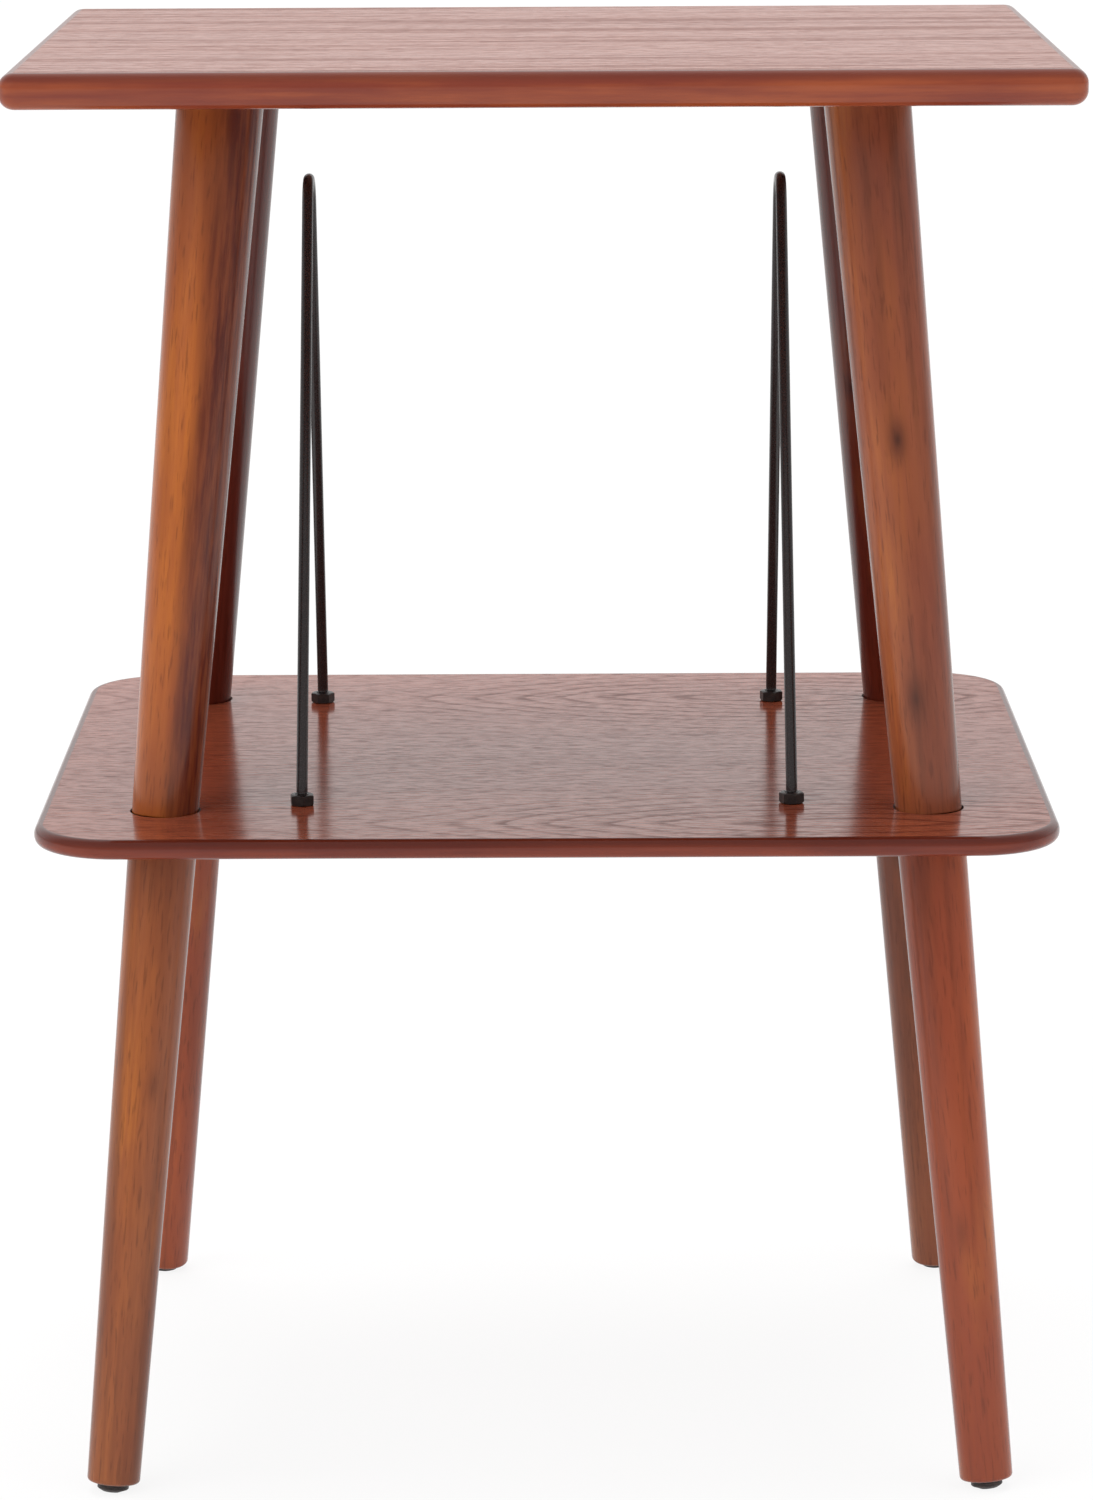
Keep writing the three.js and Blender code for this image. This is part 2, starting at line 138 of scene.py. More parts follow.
class Graph:
    """The nodes of a material or the world. Values that vary go through nodes, even ones sit on sockets."""

    def __init__(self, owner):
        self.owner = owner
        owner.use_nodes = True
        self.tree = owner.node_tree
        self.tree.nodes.clear()

    def node(self, kind, inputs=None, **settings):
        made = self.tree.nodes.new("ShaderNode" + kind)
        for key, value in settings.items():
            setattr(made, key, value)
        for key, value in (inputs or {}).items():
            self.feed(made.inputs[key], value)
        return made

    def feed(self, socket, value):
        if isinstance(value, bpy.types.NodeSocket):
            self.tree.links.new(value, socket)
        else:
            socket.default_value = value

    def math(self, operation, *values, clamp=False):
        made = self.node("Math", operation=operation, use_clamp=clamp)
        for socket, value in zip(made.inputs, values):
            self.feed(socket, value)
        return made.outputs[0]

    def vector(self, operation, *values):
        made = self.node("VectorMath", operation=operation)
        for socket, value in zip(made.inputs, values):
            self.feed(socket, value)
        return made.outputs["Vector"]

    def place(self, shift=(0, 0, 0)):
        """The object's own coordinates, in metres, moved so that no two pieces share a patch of grain."""
        own = self.node("TexCoord").outputs["Object"]
        return self.vector("ADD", own, shift)

    def parts(self, vector):
        return self.node("SeparateXYZ", {"Vector": vector}).outputs

    def length(self, vector):
        return self.node("VectorMath", {0: vector}, operation="LENGTH").outputs["Value"]

    def noise(self, place, stretch, detail=2.0, roughness=0.5, distortion=0.0):
        """Noise with the given number of features in a metre along X, Y and Z, about 0.5."""
        inputs = {
            "Vector": self.vector("MULTIPLY", place, stretch),
            "Scale": 1.0,
            "Detail": detail,
            "Roughness": roughness,
            "Distortion": distortion,
        }
        return self.node("TexNoise", inputs).outputs["Fac"]

    def remap(self, value, low, high, to_low=0.0, to_high=1.0):
        names = ("Value", "From Min", "From Max", "To Min", "To Max")
        inputs = dict(zip(names, (value, low, high, to_low, to_high)))
        return self.node("MapRange", inputs, interpolation_type="SMOOTHSTEP").outputs[0]

    def wander(self, place, stretch, reach, detail=2.0):
        """Noise about zero that reaches so many metres to either side."""
        centred = self.math("SUBTRACT", self.noise(place, stretch, detail), 0.5)
        return self.math("MULTIPLY", centred, 4 * reach)

    def ramp(self, factor, stops):
        """A curve through (position, level) stops."""
        made = self.node("ValToRGB", {"Fac": factor})
        points = made.color_ramp.elements
        while len(points) < len(stops):
            points.new(1.0)
        for point, (position, level) in zip(points, stops):
            point.position = position
            point.color = (level, level, level, 1.0)
        return made.outputs["Color"]

    def mix(self, factor, first, second):
        """A colour mix. 0, 6 and 7 are the sockets that the node uses for colours, and 2 is their result."""
        made = self.node("Mix", data_type="RGBA")
        for key, value in ((0, factor), (6, first), (7, second)):
            if isinstance(value, tuple):
                value = (*value, 1.0)
            self.feed(made.inputs[key], value)
        return made.outputs[2]

    def bump(self, height, distance):
        return self.node("Bump", {"Height": height, "Distance": distance}).outputs["Normal"]

    def mix_shaders(self, factor, first, second):
        return self.node("MixShader", {0: factor, 1: first.outputs[0], 2: second.outputs[0]})

    def show(self, shader, output="OutputMaterial"):
        """Makes a shader node the surface, and gives back the material or the world."""
        self.node(output, {"Surface": shader.outputs[0]})
        return self.owner


class Shader(Graph):
    """The nodes of a new material."""

    def __init__(self, name):
        super().__init__(bpy.data.materials.new(name))

    def surface(self, colour, roughness, normal, **fixed):
        """A Principled surface. fixed gives sockets by name, with underscores for spaces."""
        inputs = {"Base Color": colour, "Roughness": roughness, "Normal": normal}
        inputs.update({key.replace("_", " "): value for key, value in fixed.items()})
        return self.show(self.node("BsdfPrincipled", inputs))


# ------------------------------------------------------------------ wood

LACQUER_IOR = 1.6
LACQUER_ROUGH = 0.17  # on the level faces of the boards
WOOD_SHINE = 0.3  # specular level of the thinner lacquer on edges and legs
RING_PITCH = 0.0095  # metres from one growth ring to the next, across the grain of the veneer
FAINT_RINGS = 2.7  # how many faint rings go with each
ARCH_SLOPE = 0.42  # how fast a ring climbs to the face along the grain
ARCH_POINT = 1.4  # 2 for round arches, 1 for straight-sided ones
ARCH_HEART = 0.006  # how deep an arch's heart lies under the face at its eye, metres
AMBER = (0.460, 0.138, 0.020)  # what shows through in patches of the turned wood
PITH = (0.034, -0.022)  # where the trunk's middle lies from a leg's axis
LEG_RINGS = 210.0  # growth rings in a metre of turned wood
KNOT_DEPTH = 0.017  # of a knot's middle from the leg's axis
KNOT_STRETCH = (1.0, 1.0, 0.42)  # a knot is longer along the grain


def toned(colour, share):
    return tuple(channel * share for channel in colour)


def arch_field(s, x, across, wobble, arches):
    """How far the wood at the face lies from the heart of the nearest arch, as its rings count it."""
    radius = None
    for eye_x, eye_y, length in arches:
        turn = s.math("MULTIPLY", s.math("SUBTRACT", x, eye_x), 2 * math.pi / length)
        climb = ARCH_SLOPE * length / (2 * math.pi)
        rise = s.math("MULTIPLY", s.math("SUBTRACT", 1.0, s.math("COSINE", turn)), climb)
        level = s.math("ABSOLUTE", s.math("ADD", s.math("ADD", rise, wobble), ARCH_HEART))
        offset = s.math("ABSOLUTE", s.math("SUBTRACT", across, eye_y))
        powers = [s.math("POWER", part, ARCH_POINT) for part in (offset, level)]
        reach = s.math("POWER", s.math("ADD", *powers), 1 / ARCH_POINT)
        radius = reach if radius is None else s.math("MINIMUM", radius, reach)
    return radius


def veneer(name, arches, streaks, shift, light, dark, pore):
    """Flat-sawn open-pore veneer, its grain along X. Each arch is (X and Y of an eye, length of its figure).
    streaks is how strong its long dark streaks are."""
    s = Shader(name)
    place = s.place(shift)
    x, y, _ = s.parts(s.place())
    drift = s.wander(place, (3.5, 9, 9), 0.004)
    ripple = s.wander(place, (30, 70, 70), 0.0008, 3.0)
    across = s.math("ADD", y, s.math("ADD", drift, ripple))
    wobble = s.wander(place, (14, 3, 3), 0.004)
    radius = arch_field(s, x, across, wobble, arches)
    phase = s.math("FRACT", s.math("MULTIPLY", radius, 1 / RING_PITCH))
    ring = s.ramp(phase, [(0.0, 0.0), (0.10, 1.0), (0.24, 0.6), (0.44, 0.08), (1.0, 0.0)])
    faint_phase = s.math("FRACT", s.math("MULTIPLY", radius, FAINT_RINGS / RING_PITCH))
    faint_ring = s.ramp(faint_phase, [(0.0, 0.0), (0.2, 0.6), (0.5, 0.1), (1.0, 0.0)])
    dashes = s.remap(s.noise(place, (120, 760, 760), 2.0, 0.6), 0.44, 0.62)
    lines = s.remap(s.noise(place, (9, 330, 330), 3.0, 0.6), 0.40, 0.62)
    fibre = s.remap(s.noise(place, (34, 520, 520), 3.0, 0.62), 0.36, 0.64)
    broken = s.remap(s.noise(place, (75, 460, 460), 3.0, 0.6), 0.38, 0.6, 0.25, 1.0)
    streak = s.remap(s.noise(place, (1.8, 62, 62), 4.0, 0.62), 0.46, 0.66)
    broad = s.noise(place, (4, 22, 22), 2.0)
    figured = s.math("MULTIPLY", s.math("MULTIPLY", ring, broken), s.remap(radius, 0.03, 0.09, 1.15, 0.3))
    scattered = s.math("ADD", s.math("MULTIPLY", faint_ring, 0.22), s.math("MULTIPLY", lines, 0.28))
    scattered = s.math("MULTIPLY", s.math("ADD", scattered, 0.4), dashes)
    grain = s.math("ADD", figured, scattered)
    grain = s.math("ADD", grain, s.math("MULTIPLY", streak, streaks), clamp=True)
    body = s.mix(s.math("MULTIPLY", fibre, 0.7), light, dark)
    body = s.mix(s.remap(broad, 0.35, 0.7, 0.0, 0.25), body, dark)
    colour = s.mix(s.math("MULTIPLY", grain, 0.75), body, pore)
    lacquer = {"Base Color": colour, "Roughness": LACQUER_ROUGH, "IOR": LACQUER_IOR}
    lacquered = s.node("BsdfPrincipled", lacquer)
    # A pore has no level lacquer over it to shine.
    open_wood = s.node("BsdfDiffuse", {"Color": colour})
    dull = s.math("ADD", s.math("MULTIPLY", grain, 0.50), s.math("MULTIPLY", fibre, 0.04))
    return s.show(s.mix_shaders(dull, lacquered, open_wood))


def edge_band(name, face_height, light, dark, shift):
    """The closely stained edge of a board. Its streaks follow the edge, and it darkens up to the face."""
    s = Shader(name)
    place = s.place(shift)
    facing = s.parts(s.node("NewGeometry").outputs["Normal"])
    turned_aside = s.remap(s.math("ABSOLUTE", facing[0]), 0.6, 0.8)
    along_x = s.noise(place, (9, 60, 170), 4.0, 0.6)
    along_y = s.noise(place, (60, 9, 170), 4.0, 0.6)
    streak = s.node("Mix", {0: turned_aside, 2: along_x, 3: along_y}, data_type="FLOAT").outputs[0]
    cloud = s.noise(place, (14, 14, 30), 3.0)
    fine = s.noise(place, (700, 700, 900), 2.0)
    tone = s.math("ADD", s.math("MULTIPLY", streak, 0.6), s.math("MULTIPLY", cloud, 0.4))
    colour = s.mix(s.remap(tone, 0.36, 0.64), light, dark)
    height = s.parts(s.place())[2]
    under_face = s.remap(height, face_height - 5.5 * MM, face_height - 1.5 * MM, 0.0, 0.8)
    colour = s.mix(under_face, colour, toned(dark, 0.55))
    rough = s.remap(fine, 0.3, 0.7, 0.15, 0.20)
    normal = s.bump(fine, 0.000012)
    return s.surface(colour, rough, normal, IOR=LACQUER_IOR, Specular_IOR_Level=WOOD_SHINE)


def knot_field(s, own, knots):
    """1 in the middle of a knot, falling away round it, or nothing where a leg has no knots."""
    swirl = None
    for height, turn, size in knots:
        centre = (KNOT_DEPTH * math.cos(turn), KNOT_DEPTH * math.sin(turn), height)
        away = s.length(s.vector("MULTIPLY", s.vector("SUBTRACT", own, centre), KNOT_STRETCH))
        knot = s.math("EXPONENT", s.math("MULTIPLY", away, -1.0 / size))
        swirl = knot if swirl is None else s.math("MAXIMUM", swirl, knot)
    return swirl


def leg_wood(name, shift, tones, streaks, heart_and_shade, knots):
    """Turned solid wood with its grain along Z. streaks is how strong its dark bands are. tones are light,
    dark and a core tone, and heart_and_shade gives the (direction from the axis, strength) of the side in the
    core tone, which is heartwood and painted shade."""
    light, dark, core_and_shade = tones
    s = Shader(name)
    place = s.place(shift)
    own = s.place()
    x, y, _ = s.parts(own)
    bend_x = s.wander(place, (14, 14, 5), 0.006)
    bend_y = s.wander(s.vector("ADD", place, (3.1, 1.7, 0.9)), (14, 14, 5), 0.006)
    from_pith_x = s.math("ADD", s.math("SUBTRACT", x, PITH[0]), bend_x)
    from_pith_y = s.math("ADD", s.math("SUBTRACT", y, PITH[1]), bend_y)
    radius = s.length(s.node("CombineXYZ", {"X": from_pith_x, "Y": from_pith_y}).outputs[0])
    swirl = knot_field(s, own, knots)
    if swirl is not None:
        radius = s.math("ADD", radius, s.math("MULTIPLY", swirl, 0.007))
    rings = s.math("FRACT", s.math("MULTIPLY", radius, LEG_RINGS))
    late = s.ramp(rings, [(0.0, 0.1), (0.55, 0.3), (0.86, 1.0), (1.0, 0.1)])
    band = s.remap(s.noise(place, (95, 95, 3.5), 3.0, 0.55, 0.4), 0.44, 0.68)
    cloud = s.noise(place, (26, 26, 7), 3.0, 0.55)
    glow = s.remap(s.noise(place, (34, 34, 11), 2.0, 0.5), 0.50, 0.68, 0.0, 0.55)
    fibre = s.noise(place, (420, 420, 30), 4.0, 0.62)
    dashes = s.remap(s.noise(place, (900, 900, 80), 2.0), 0.54, 0.72)
    colour = s.mix(s.remap(cloud, 0.32, 0.66), light, dark)
    colour = s.mix(glow, colour, AMBER)
    colour = s.mix(s.math("MULTIPLY", late, 0.22), colour, dark)
    # The core tone on one side is partly heartwood and partly painted shade: most legs get it on the side
    # that faces into the stand, where shade falls.
    turn, strength = heart_and_shade
    aside = s.math("ADD", s.math("MULTIPLY", x, math.cos(turn)), s.math("MULTIPLY", y, math.sin(turn)))
    heart_and_shade_edge = s.math("ADD", aside, s.wander(place, (60, 60, 6), 0.005, 3.0))
    colour = s.mix(s.remap(heart_and_shade_edge, -0.001, 0.013, 0.0, strength), colour, core_and_shade)
    deep = toned(dark, 0.38)
    colour = s.mix(s.math("MULTIPLY", band, streaks), colour, deep)
    colour = s.mix(s.remap(fibre, 0.34, 0.68, 0.0, 0.5), colour, dark)
    colour = s.mix(s.math("MULTIPLY", dashes, 0.45), colour, deep)
    if swirl is not None:
        colour = s.mix(s.remap(swirl, 0.08, 0.6, 0.0, 0.75), colour, deep)
        colour = s.mix(s.remap(swirl, 0.5, 0.9, 0.0, 0.7), colour, toned(dark, 0.16))
    rough = s.remap(fibre, 0.3, 0.7, 0.20, 0.27)
    relief = s.math("ADD", s.math("MULTIPLY", fibre, 0.7), s.math("MULTIPLY", dashes, -0.6))
    normal = s.bump(relief, 0.00003)
    return s.surface(colour, rough, normal, IOR=LACQUER_IOR, Specular_IOR_Level=WOOD_SHINE)


# ------------------------------------------------------------------ metal and plastic


def black_wire():
    s = Shader("black_wire")
    place = s.place()
    film = s.noise(place, (260, 260, 260), 2.0)
    dust = s.noise(place, (1400, 1400, 1400), 2.0)
    colour = s.mix(s.remap(dust, 0.45, 0.8), (0.017, 0.012, 0.012), (0.030, 0.023, 0.024))
    rough = s.remap(film, 0.3, 0.7, 0.22, 0.27)
    return s.surface(colour, rough, s.bump(film, 0.00001), IOR=1.52)


def black_hardware():
    s = Shader("black_hardware")
    place = s.place()
    patch = s.noise(place, (420, 420, 420), 3.0)
    fine = s.noise(place, (2600, 2600, 2600), 2.0)
    colour = s.mix(s.remap(patch, 0.35, 0.7), (0.007, 0.005, 0.005), (0.020, 0.014, 0.012))
    rough = s.remap(fine, 0.3, 0.7, 0.26, 0.42)
    return s.surface(colour, rough, s.bump(fine, 0.000015), IOR=1.5)


def zinc_steel():
    s = Shader("zinc_steel")
    place = s.place()
    patch = s.noise(place, (240, 240, 240), 3.0)
    fine = s.noise(place, (3200, 3200, 700), 2.0)
    colour = s.mix(s.remap(patch, 0.3, 0.7), (0.52, 0.52, 0.50), (0.68, 0.68, 0.66))
    rough = s.remap(fine, 0.3, 0.7, 0.22, 0.4)
    return s.surface(colour, rough, s.bump(fine, 0.00001), Metallic=1.0)


def glide_plastic():
    s = Shader("glide_plastic")
    place = s.place()
    grain = s.noise(place, (1500, 1500, 1500), 3.0)
    scuff = s.noise(place, (300, 300, 1100), 3.0)
    colour = s.mix(s.remap(scuff, 0.4, 0.75), (0.020, 0.013, 0.012), (0.060, 0.045, 0.040))
    rough = s.remap(grain, 0.3, 0.7, 0.42, 0.6)
    return s.surface(colour, rough, s.bump(grain, 0.00003), IOR=1.48)


def bare_board():
    """The wood in the recesses and holes of a board, dark brown."""
    s = Shader("bare_board")
    place = s.place()
    fibre = s.noise(place, (90, 700, 700), 4.0, 0.6)
    colour = s.mix(s.remap(fibre, 0.3, 0.7), (0.060, 0.018, 0.010), (0.022, 0.008, 0.006))
    return s.surface(colour, 0.62, s.bump(fibre, 0.00008))


# ------------------------------------------------------------------ meshes


WELD = 1e-7  # metres. Vertices closer than this are one
SHARP = 32  # degrees


def smooth_mesh(name, vertices, faces, materials, face_material=None, sharp=SHARP):
    """A closed mesh that shades smooth, apart from edges that turn by more than sharp degrees."""
    mesh = bpy.data.meshes.new(name)
    mesh.from_pydata(vertices, [], faces)
    for material in materials:
        mesh.materials.append(material)
    if face_material:
        for polygon in mesh.polygons:
            polygon.material_index = face_material(polygon)
    made = bmesh.new()
    made.from_mesh(mesh)
    bmesh.ops.remove_doubles(made, verts=made.verts, dist=WELD)
    bmesh.ops.recalc_face_normals(made, faces=made.faces)
    made.to_mesh(mesh)
    made.free()
    mesh.shade_smooth()
    mesh.set_sharp_from_angle(angle=math.radians(sharp))
    return mesh


def add_piece(name, mesh, replaced, matrix=None):
    piece = bpy.data.objects.new(name, mesh)
    if matrix is not None:
        piece.matrix_world = matrix
    bpy.context.scene.collection.objects.link(piece)
    bpy.context.view_layer.update()
    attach(piece, "root")
    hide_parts(*replaced)


def circle(radius, height, sides):
    turn = 2 * math.pi / sides
    return [(radius * math.cos(i * turn), radius * math.sin(i * turn), height) for i in range(sides)]


def lathe(profile, sides):
    """Vertices and faces of a shape turned about Z from (radius, height) pairs. A radius of 0 closes it."""
    vertices, rows = [], []
    for radius, height in profile:
        row = [(0.0, 0.0, height)] if radius == 0 else circle(radius, height, sides)
        rows.append(range(len(vertices), len(vertices) + len(row)))
        vertices += row
    faces = []
    for low, high in zip(rows, rows[1:]):
        for i in range(sides):
            j = (i + 1) % sides
            corners = [low[i % len(low)], low[j % len(low)], high[j % len(high)], high[i % len(high)]]
            faces.append(tuple(dict.fromkeys(corners)))
    return vertices, faces


def skin(rows, count):
    """Faces between rings of this many vertices. rows gives the index that each ring starts at."""
    faces = []
    for low, high in zip(rows, rows[1:]):
        for i in range(count):
            j = (i + 1) % count
            faces.append((low + i, low + j, high + j, high + i))
    return faces


def arc(centre, radius, start, end, steps):
    """Points on a circle in a (radius, height) profile, by angle in degrees."""
    points = []
    for i in range(steps + 1):
        angle = math.radians(start + (end - start) * i / steps)
        points.append((centre[0] + radius * math.cos(angle), centre[1] + radius * math.sin(angle)))
    return points


def rounded_outline(width, depth, radius, steps):
    """Points round a rectangle, each as the centre of its corner's arc, and a cosine and sine on it."""
    x, y = width / 2 - radius, depth / 2 - radius
    points = []
    for i, (cx, cy) in enumerate(((x, y), (-x, y), (-x, -y), (x, -y))):
        for step in range(steps + 1):
            angle = math.pi / 2 * (i + step / steps)
            points.append((cx, cy, math.cos(angle), math.sin(angle)))
    return points


CORNER_STEPS = 14
ROUND_STEPS = 9
CUT_REACH = 12 * MM  # length of the cutter for a leg's recess
HOLE_REACH = 10 * MM  # how far the cutter for a wire's hole runs out of the shelf
CUTTER_SIDES = 96
HOLE_SIDES = 48


def board_mesh(name, size, corner, edge, face_height, materials):
    """A board with rounded corners and edges. Slot 0 is its faces, 1 its edge. Cutters bring their own."""
    width, depth, thickness = size
    outline = rounded_outline(width, depth, corner, CORNER_STEPS)
    top, bottom = face_height, face_height - thickness
    profile = []
    for i in range(ROUND_STEPS + 1):
        angle = math.pi / 2 * i / ROUND_STEPS
        profile.append((edge * (1 - math.sin(angle)), bottom + edge * (1 - math.cos(angle))))
    for i in range(ROUND_STEPS + 1):
        angle = math.pi / 2 * i / ROUND_STEPS
        profile.append((edge * (1 - math.cos(angle)), top - edge * (1 - math.sin(angle))))
    vertices = []
    for inset, height in profile:
        for cx, cy, cos, sin in outline:
            vertices.append((cx + (corner - inset) * cos, cy + (corner - inset) * sin, height))
    count, total = len(outline), len(vertices)
    faces = [tuple(reversed(range(count))), tuple(range(total - count, total))]
    faces += skin(range(0, total, count), count)
    return smooth_mesh(name, vertices, faces, materials, lambda polygon: 0 if polygon.index < 2 else 1)


def cutter(radius, start, end, matrix, sides=CUTTER_SIDES):
    """A round tool from start to end along the Z of this frame."""
    vertices, faces = lathe([(0, start), (radius, start), (radius, end), (0, end)], sides)
    mesh = smooth_mesh("cutter", [matrix @ Vector(v) for v in vertices], faces, [FINISHES["bare_board"]])
    made = bpy.data.objects.new("cutter", mesh)
    bpy.context.scene.collection.objects.link(made)
    return made


def cut_board(name, mesh, cutters, replaced):
    """Takes the cutters out of the board, and adds it as a piece."""
    blank = bpy.data.objects.new(name + "_blank", mesh)
    bpy.context.scene.collection.objects.link(blank)
    for tool in cutters:
        step = blank.modifiers.new("cut", "BOOLEAN")
        step.operation = "DIFFERENCE"
        step.solver = "EXACT"
        step.object = tool
        step.material_mode = "TRANSFER"
    weighted = blank.modifiers.new("normals", "WEIGHTED_NORMAL")
    weighted.keep_sharp = True
    weighted.weight = 100
    bpy.context.view_layer.update()
    depsgraph = bpy.context.evaluated_depsgraph_get()
    done = bpy.data.meshes.new_from_object(blank.evaluated_get(depsgraph), depsgraph=depsgraph)
    done.name = name
    for extra in (blank, *cutters):
        bpy.data.objects.remove(extra)
    add_piece(name, done, replaced)


def wire_ends():
    """The dividers' four wire ends, as (corner name, X, Y)."""
    return [(corner, side * WIRE_SIDE, end * WIRE_FOOT) for corner, (side, end) in CORNERS.items()]


def add_boards():
    top_materials = [FINISHES["top_veneer"], FINISHES["top_edge"]]
    shelf_materials = [FINISHES["shelf_veneer"], FINISHES["shelf_edge"]]
    top = board_mesh("top", TOP_SIZE, TOP_CORNER, TOP_EDGE, TOP_FACE, top_materials)
    shelf = board_mesh("shelf", SHELF_SIZE, SHELF_CORNER, SHELF_EDGE, SHELF_FACE, shelf_materials)
    head = UPPER_HEAD + SEAT_CLEARANCE
    tools = [cutter(head, TOP_SEAT - CUT_REACH, TOP_SEAT, leg_frame(corner)) for corner in CORNERS]
    cut_board("top_board_veneered", top, tools, ["top_board"])
    tools = []
    for corner in CORNERS:
        place = leg_frame(corner)
        tools.append(cutter(UPPER_FOOT + SEAT_CLEARANCE, UPPER_SEAT, UPPER_SEAT + CUT_REACH, place))
        tools.append(cutter(LOWER_HEAD + SEAT_CLEARANCE, LOWER_SEAT - CUT_REACH, LOWER_SEAT, place))
    low, high = SHELF_UNDER - HOLE_REACH, SHELF_FACE + HOLE_REACH
    for _, x, y in wire_ends():
        tools.append(cutter(THREAD_RADIUS + HOLE_GAP, low, high, Matrix.Translation((x, y, 0)), HOLE_SIDES))
    cut_board("storage_shelf_veneered", shelf, tools, ["storage_shelf"])


LEG_SIDES = 96
ARRIS_STEPS = 4
FOOT_STEPS = 6


def add_leg(name, place, foot, head, foot_arc):
    """A leg from the height of its foot to the (radius, height) of its head. foot_arc rounds its foot."""
    head_radius, head_height = head
    head_centre = (head_radius - LEG_ARRIS, head_height - LEG_ARRIS)
    profile = [(0, foot), *foot_arc, *arc(head_centre, LEG_ARRIS, 0, 90, ARRIS_STEPS), (0, head_height)]
    mesh = smooth_mesh(name, *lathe(profile, LEG_SIDES), [FINISHES[name]])
    add_piece(name + "_turned", mesh, [name], place)


def add_legs():
    for corner in CORNERS:
        place = leg_frame(corner)
        foot = UPPER_SEAT + FACE_GAP
        foot_arc = arc((UPPER_FOOT - LEG_ARRIS, foot + LEG_ARRIS), LEG_ARRIS, -90, 0, ARRIS_STEPS)
        add_leg("upper_leg_" + corner, place, foot, (UPPER_HEAD, TOP_SEAT - FACE_GAP), foot_arc)
        foot = LOWER_END
        foot_arc = arc((LOWER_FOOT - FOOT_ROUND, foot + FOOT_ROUND), FOOT_ROUND, -90, 0, FOOT_STEPS)
        add_leg("lower_leg_" + corner, place, foot, (LOWER_HEAD, LOWER_SEAT - FACE_GAP), foot_arc)


GLIDE_SIDES = 64
GLIDE_STEPS = 3


def add_glides():
    for corner in CORNERS:
        place = leg_frame(corner)
        base, head, soft = GLIDE_BASE, GLIDE_BASE + GLIDE_HEIGHT, GLIDE_ARRIS
        shoulder = head - GLIDE_SIDE
        profile = [(0, base), (GLIDE_FLAT - soft, base), (GLIDE_FLAT, base + GLIDE_CHAMFER)]
        profile += [(GLIDE_RADIUS - soft, shoulder - soft), (GLIDE_RADIUS, shoulder)]
        profile += [*arc((GLIDE_RADIUS - soft, head - soft), soft, 0, 90, GLIDE_STEPS), (0, head)]
        vertices, faces = lathe(profile, GLIDE_SIDES)
        # Where the leaning disc would reach into the floor, it is pressed flat on it.
        standing = [place @ Vector(v) for v in vertices]
        standing = [Vector((v.x, v.y, max(v.z, 0.0))) for v in standing]
        name = "foot_glide_" + corner
        mesh = smooth_mesh(name, standing, faces, [FINISHES["glide_plastic"]])
        add_piece(name + "_moulded", mesh, [name])


WIRE_SIDES = 28
BEND_STEPS = 8
PEAK_STEPS = 40
STEPS_PER_PITCH = 8
THREAD_CREST = 0.12  # the share of each pitch that is level at the crest, and as much at the root
THREAD_RUN_OUT = 0.9  # pitches that the thread takes to fade at either end
THREAD_TIP = 0.25 * MM  # how much slimmer than the root the very end is


def wire_line():
    """Stations (point, tangent) in the YZ plane along one divider, from its front thread to its back one."""
    thread_top = SHELF_FACE + FLAT_GAP + NUT_HEIGHT + THREAD_SHOWN

    def lower_corner(y):
        turn = math.atan2(abs(PEAK_BACK - y), PEAK_HEIGHT - thread_top)
        return Vector((0, y, thread_top + WIRE_BEND * math.tan(turn / 2)))

    corners = [
        Vector((0, -WIRE_FOOT, thread_top)),
        lower_corner(-WIRE_FOOT),
        Vector((0, PEAK_BACK, PEAK_HEIGHT)),
        lower_corner(WIRE_FOOT),
        Vector((0, WIRE_FOOT, thread_top)),
    ]
    stations = [(corners[0], Vector((0, 0, 1)))]
    bends = ((WIRE_BEND, BEND_STEPS), (PEAK_BEND, PEAK_STEPS), (WIRE_BEND, BEND_STEPS))
    for i, (radius, steps) in enumerate(bends, start=1):
        into = (corners[i] - corners[i - 1]).normalized()
        out = (corners[i + 1] - corners[i]).normalized()
        turn = into.angle(out)
        centre = corners[i] + (out - into).normalized() * (radius / math.cos(turn / 2))
        spin = into.cross(out).normalized()
        start = corners[i] - into * (radius * math.tan(turn / 2)) - centre
        for step in range(steps + 1):
            rotation = Matrix.Rotation(turn * step / steps, 3, spin)
            stations.append((centre + rotation @ start, rotation @ into))
    stations.append((corners[-1], Vector((0, 0, -1))))
    return stations


def thread_radius(turns):
    """Radius of a rolled thread, where turns counts pitches along it, less the turn round it."""
    wave = abs((turns % 1.0) * 2 - 1)
    depth = (wave - THREAD_CREST) / (1 - 2 * THREAD_CREST)
    return THREAD_RADIUS - THREAD_DEPTH * min(1.0, max(0.0, depth))


